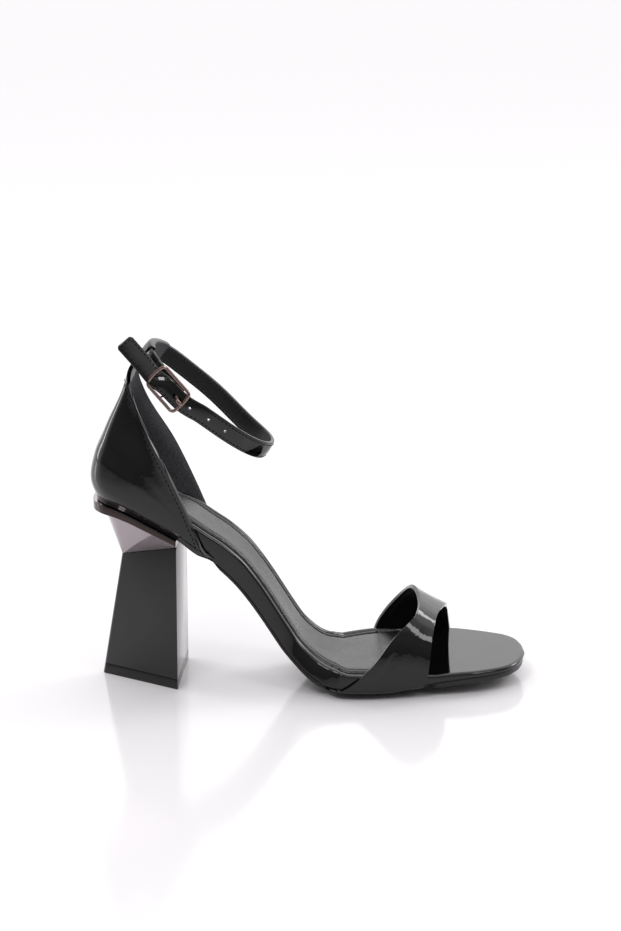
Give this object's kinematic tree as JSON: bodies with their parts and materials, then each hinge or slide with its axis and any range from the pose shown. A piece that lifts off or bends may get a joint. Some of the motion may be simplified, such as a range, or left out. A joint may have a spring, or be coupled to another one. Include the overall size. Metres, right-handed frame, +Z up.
{
  "type": "ankle-strap sandal",
  "caption": "Black patent ankle-strap sandal with a closed heel, a broad toe band, a buckled strap and a tapered three-sided block heel under a polished metal seat piece.",
  "frame": {"origin": "middle of the heel tip's lower face, on the floor", "axes": "+X to the toe, +Y to the big-toe side, +Z up"},
  "size_m": [0.2133, 0.0837, 0.1775],
  "materials": {
    "tread": "matt black tread",
    "patent_sole": "black patent, wrapped",
    "footbed": "dark grey, fine grain",
    "top_piece": "matt black",
    "lacquer": "black lacquer",
    "gunmetal": "polished gunmetal plating",
    "patent": "black patent",
    "buckle_metal": "polished gunmetal with a copper cast"
  },
  "bodies": {
    "root": {"outsole": "tread", "insole_board": "patent_sole", "sock": "footbed", "heel_tip": "top_piece", "heel_block": "lacquer", "heel_collar": "gunmetal", "counter": "patent", "toe_band": "patent", "ankle_strap": "patent", "buckle_frame": "buckle_metal", "buckle_prong": "buckle_metal"}
  },
  "joints": []
}
